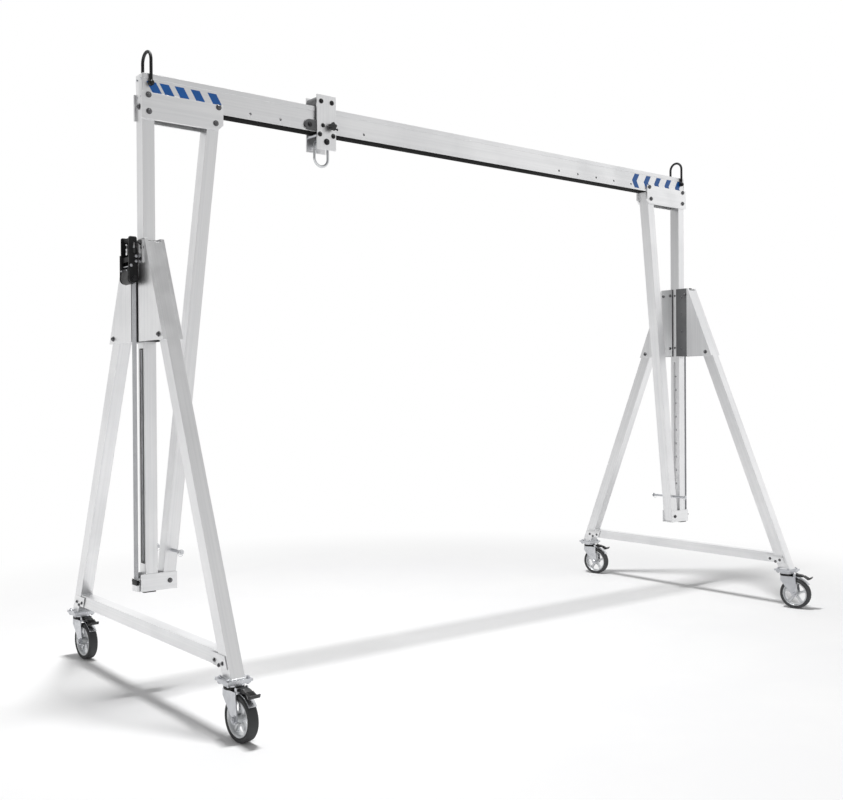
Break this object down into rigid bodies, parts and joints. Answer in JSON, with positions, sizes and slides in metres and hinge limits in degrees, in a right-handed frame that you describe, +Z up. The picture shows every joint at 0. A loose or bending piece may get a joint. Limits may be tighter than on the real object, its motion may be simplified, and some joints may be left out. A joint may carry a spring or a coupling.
{
  "type": "portable gantry crane",
  "caption": "Aluminium gantry crane with a beam on height-adjustable A-frames, swivel castors, strap winches and a beam trolley with a shackle.",
  "frame": {"origin": "on the floor, midway between the two A-frames and in the beam's middle plane", "axes": "+X along the beam, +Y to the back, +Z up"},
  "size_m": [4.426, 2.0203, 3.191],
  "materials": {
    "tube_aluminium": "satin extruded tube",
    "beam_aluminium": "satin extruded beam",
    "plate_aluminium": "brushed plate",
    "dark_guide": "black polymer guide",
    "black_steel": "black powder coat",
    "zinc_steel": "bright zinc plate",
    "cast_aluminium": "cast aluminium wheel centre",
    "grey_tyre": "dark grey rubber tread",
    "black_plastic": "black moulded plastic",
    "webbing": "woven grey strap"
  },
  "bodies": {
    "left_a_frame": {"left_front_leg": "tube_aluminium", "left_back_leg": "tube_aluminium", "left_foot_plates": "plate_aluminium", "left_cross_rail": "tube_aluminium", "left_head_outer_plates": "plate_aluminium", "left_head_inner_plates": "plate_aluminium", "left_upright_guides": "dark_guide", "left_winch_frame": "black_steel", "left_strap": "webbing"},
    "right_a_frame": {"right_front_leg": "tube_aluminium", "right_back_leg": "tube_aluminium", "right_foot_plates": "plate_aluminium", "right_cross_rail": "tube_aluminium", "right_head_outer_plates": "plate_aluminium", "right_head_inner_plates": "plate_aluminium", "right_upright_guides": "dark_guide", "right_winch_frame": "black_steel", "right_strap": "webbing"},
    "upper_frame": {"beam": "beam_aluminium", "left_yoke_plates": "plate_aluminium", "left_lifting_loop": "black_steel", "left_post": "tube_aluminium", "left_brace": "tube_aluminium", "left_bottom_bracket": "plate_aluminium", "left_cross_pin": "zinc_steel", "right_yoke_plates": "plate_aluminium", "right_lifting_loop": "black_steel", "right_post": "tube_aluminium", "right_brace": "tube_aluminium", "right_bottom_bracket": "plate_aluminium", "right_cross_pin": "zinc_steel"},
    "trolley": {"trolley_plates": "plate_aluminium", "trolley_rollers": "zinc_steel", "trolley_cross_pins": "zinc_steel", "trolley_knob": "black_plastic"},
    "shackle_ring": {"shackle": "zinc_steel"},
    "left_winch_handle": {"left_winch_lever": "black_steel"},
    "left_front_swivel": {"left_front_castor_fork": "zinc_steel"},
    "left_front_wheel": {"left_front_castor_hub": "cast_aluminium", "left_front_castor_tyre": "grey_tyre"},
    "left_front_pedal": {"left_front_brake_pedal": "black_plastic"},
    "left_back_swivel": {"left_back_castor_fork": "zinc_steel"},
    "left_back_wheel": {"left_back_castor_hub": "cast_aluminium", "left_back_castor_tyre": "grey_tyre"},
    "left_back_pedal": {"left_back_brake_pedal": "black_plastic"},
    "right_winch_handle": {"right_winch_lever": "black_steel"},
    "right_front_swivel": {"right_front_castor_fork": "zinc_steel"},
    "right_front_wheel": {"right_front_castor_hub": "cast_aluminium", "right_front_castor_tyre": "grey_tyre"},
    "right_front_pedal": {"right_front_brake_pedal": "black_plastic"},
    "right_back_swivel": {"right_back_castor_fork": "zinc_steel"},
    "right_back_wheel": {"right_back_castor_hub": "cast_aluminium", "right_back_castor_tyre": "grey_tyre"},
    "right_back_pedal": {"right_back_brake_pedal": "black_plastic"}
  },
  "joints": [
    {"name": "lift", "type": "slide", "parent": "left_a_frame", "child": "upper_frame", "axis": [0, 0, 1], "range_m": [0, 1], "deforming": ["left_strap"]},
    {"name": "right_lift", "type": "slide", "parent": "upper_frame", "child": "right_a_frame", "axis": [0, 0, -1], "range_m": [0, 1], "deforming": ["right_strap"]},
    {"name": "trolley_travel", "type": "slide", "parent": "upper_frame", "child": "trolley", "axis": [1, 0, 0], "range_m": [-0.49, 2.61]},
    {"name": "shackle_swing", "type": "hinge", "parent": "trolley", "child": "shackle_ring", "pos_m": [-1.063, 0, 2.875], "axis": [0, 1, 0], "range_deg": [-45, 45]},
    {"name": "left_winch_turn", "type": "hinge", "parent": "left_a_frame", "child": "left_winch_handle", "pos_m": [-2.1865, 0, 2.048], "axis": [0, -1, 0], "range_deg": [0, 110]},
    {"name": "left_front_swivel_turn", "type": "hinge", "parent": "left_a_frame", "child": "left_front_swivel", "pos_m": [-2.11, -0.89887, 0.25], "axis": [0, 0, 1], "continuous": true},
    {"name": "left_front_wheel_turn", "type": "hinge", "parent": "left_front_swivel", "child": "left_front_wheel", "pos_m": [-2.10595, -0.95673, 0.1], "axis": [0.9976, 0.0698, 0], "continuous": true},
    {"name": "left_front_pedal_press", "type": "hinge", "parent": "left_front_swivel", "child": "left_front_pedal", "pos_m": [-2.10582, -0.95872, 0.226], "axis": [0.9976, 0.0698, 0], "range_deg": [0, 12]},
    {"name": "left_back_swivel_turn", "type": "hinge", "parent": "left_a_frame", "child": "left_back_swivel", "pos_m": [-2.11, 0.89887, 0.25], "axis": [0, 0, 1], "continuous": true},
    {"name": "left_back_wheel_turn", "type": "hinge", "parent": "left_back_swivel", "child": "left_back_wheel", "pos_m": [-2.10595, 0.84101, 0.1], "axis": [0.9976, 0.0698, 0], "continuous": true},
    {"name": "left_back_pedal_press", "type": "hinge", "parent": "left_back_swivel", "child": "left_back_pedal", "pos_m": [-2.10582, 0.83901, 0.226], "axis": [0.9976, 0.0698, 0], "range_deg": [0, 12]},
    {"name": "right_winch_turn", "type": "hinge", "parent": "right_a_frame", "child": "right_winch_handle", "pos_m": [2.1865, 0, 2.048], "axis": [0, 1, 0], "range_deg": [0, 110]},
    {"name": "right_front_swivel_turn", "type": "hinge", "parent": "right_a_frame", "child": "right_front_swivel", "pos_m": [2.11, -0.89887, 0.25], "axis": [0, 0, 1], "continuous": true},
    {"name": "right_front_wheel_turn", "type": "hinge", "parent": "right_front_swivel", "child": "right_front_wheel", "pos_m": [2.12403, -0.95515, 0.1], "axis": [0.9703, 0.2419, 0], "continuous": true},
    {"name": "right_front_pedal_press", "type": "hinge", "parent": "right_front_swivel", "child": "right_front_pedal", "pos_m": [2.12452, -0.95709, 0.226], "axis": [0.9703, 0.2419, 0], "range_deg": [0, 12]},
    {"name": "right_back_swivel_turn", "type": "hinge", "parent": "right_a_frame", "child": "right_back_swivel", "pos_m": [2.11, 0.89887, 0.25], "axis": [0, 0, 1], "continuous": true},
    {"name": "right_back_wheel_turn", "type": "hinge", "parent": "right_back_swivel", "child": "right_back_wheel", "pos_m": [2.12403, 0.84259, 0.1], "axis": [0.9703, 0.2419, 0], "continuous": true},
    {"name": "right_back_pedal_press", "type": "hinge", "parent": "right_back_swivel", "child": "right_back_pedal", "pos_m": [2.12452, 0.84065, 0.226], "axis": [0.9703, 0.2419, 0], "range_deg": [0, 12]}
  ],
  "couplings": [
    {"joint": "right_lift", "follows": "lift", "ratio": 1}
  ]
}
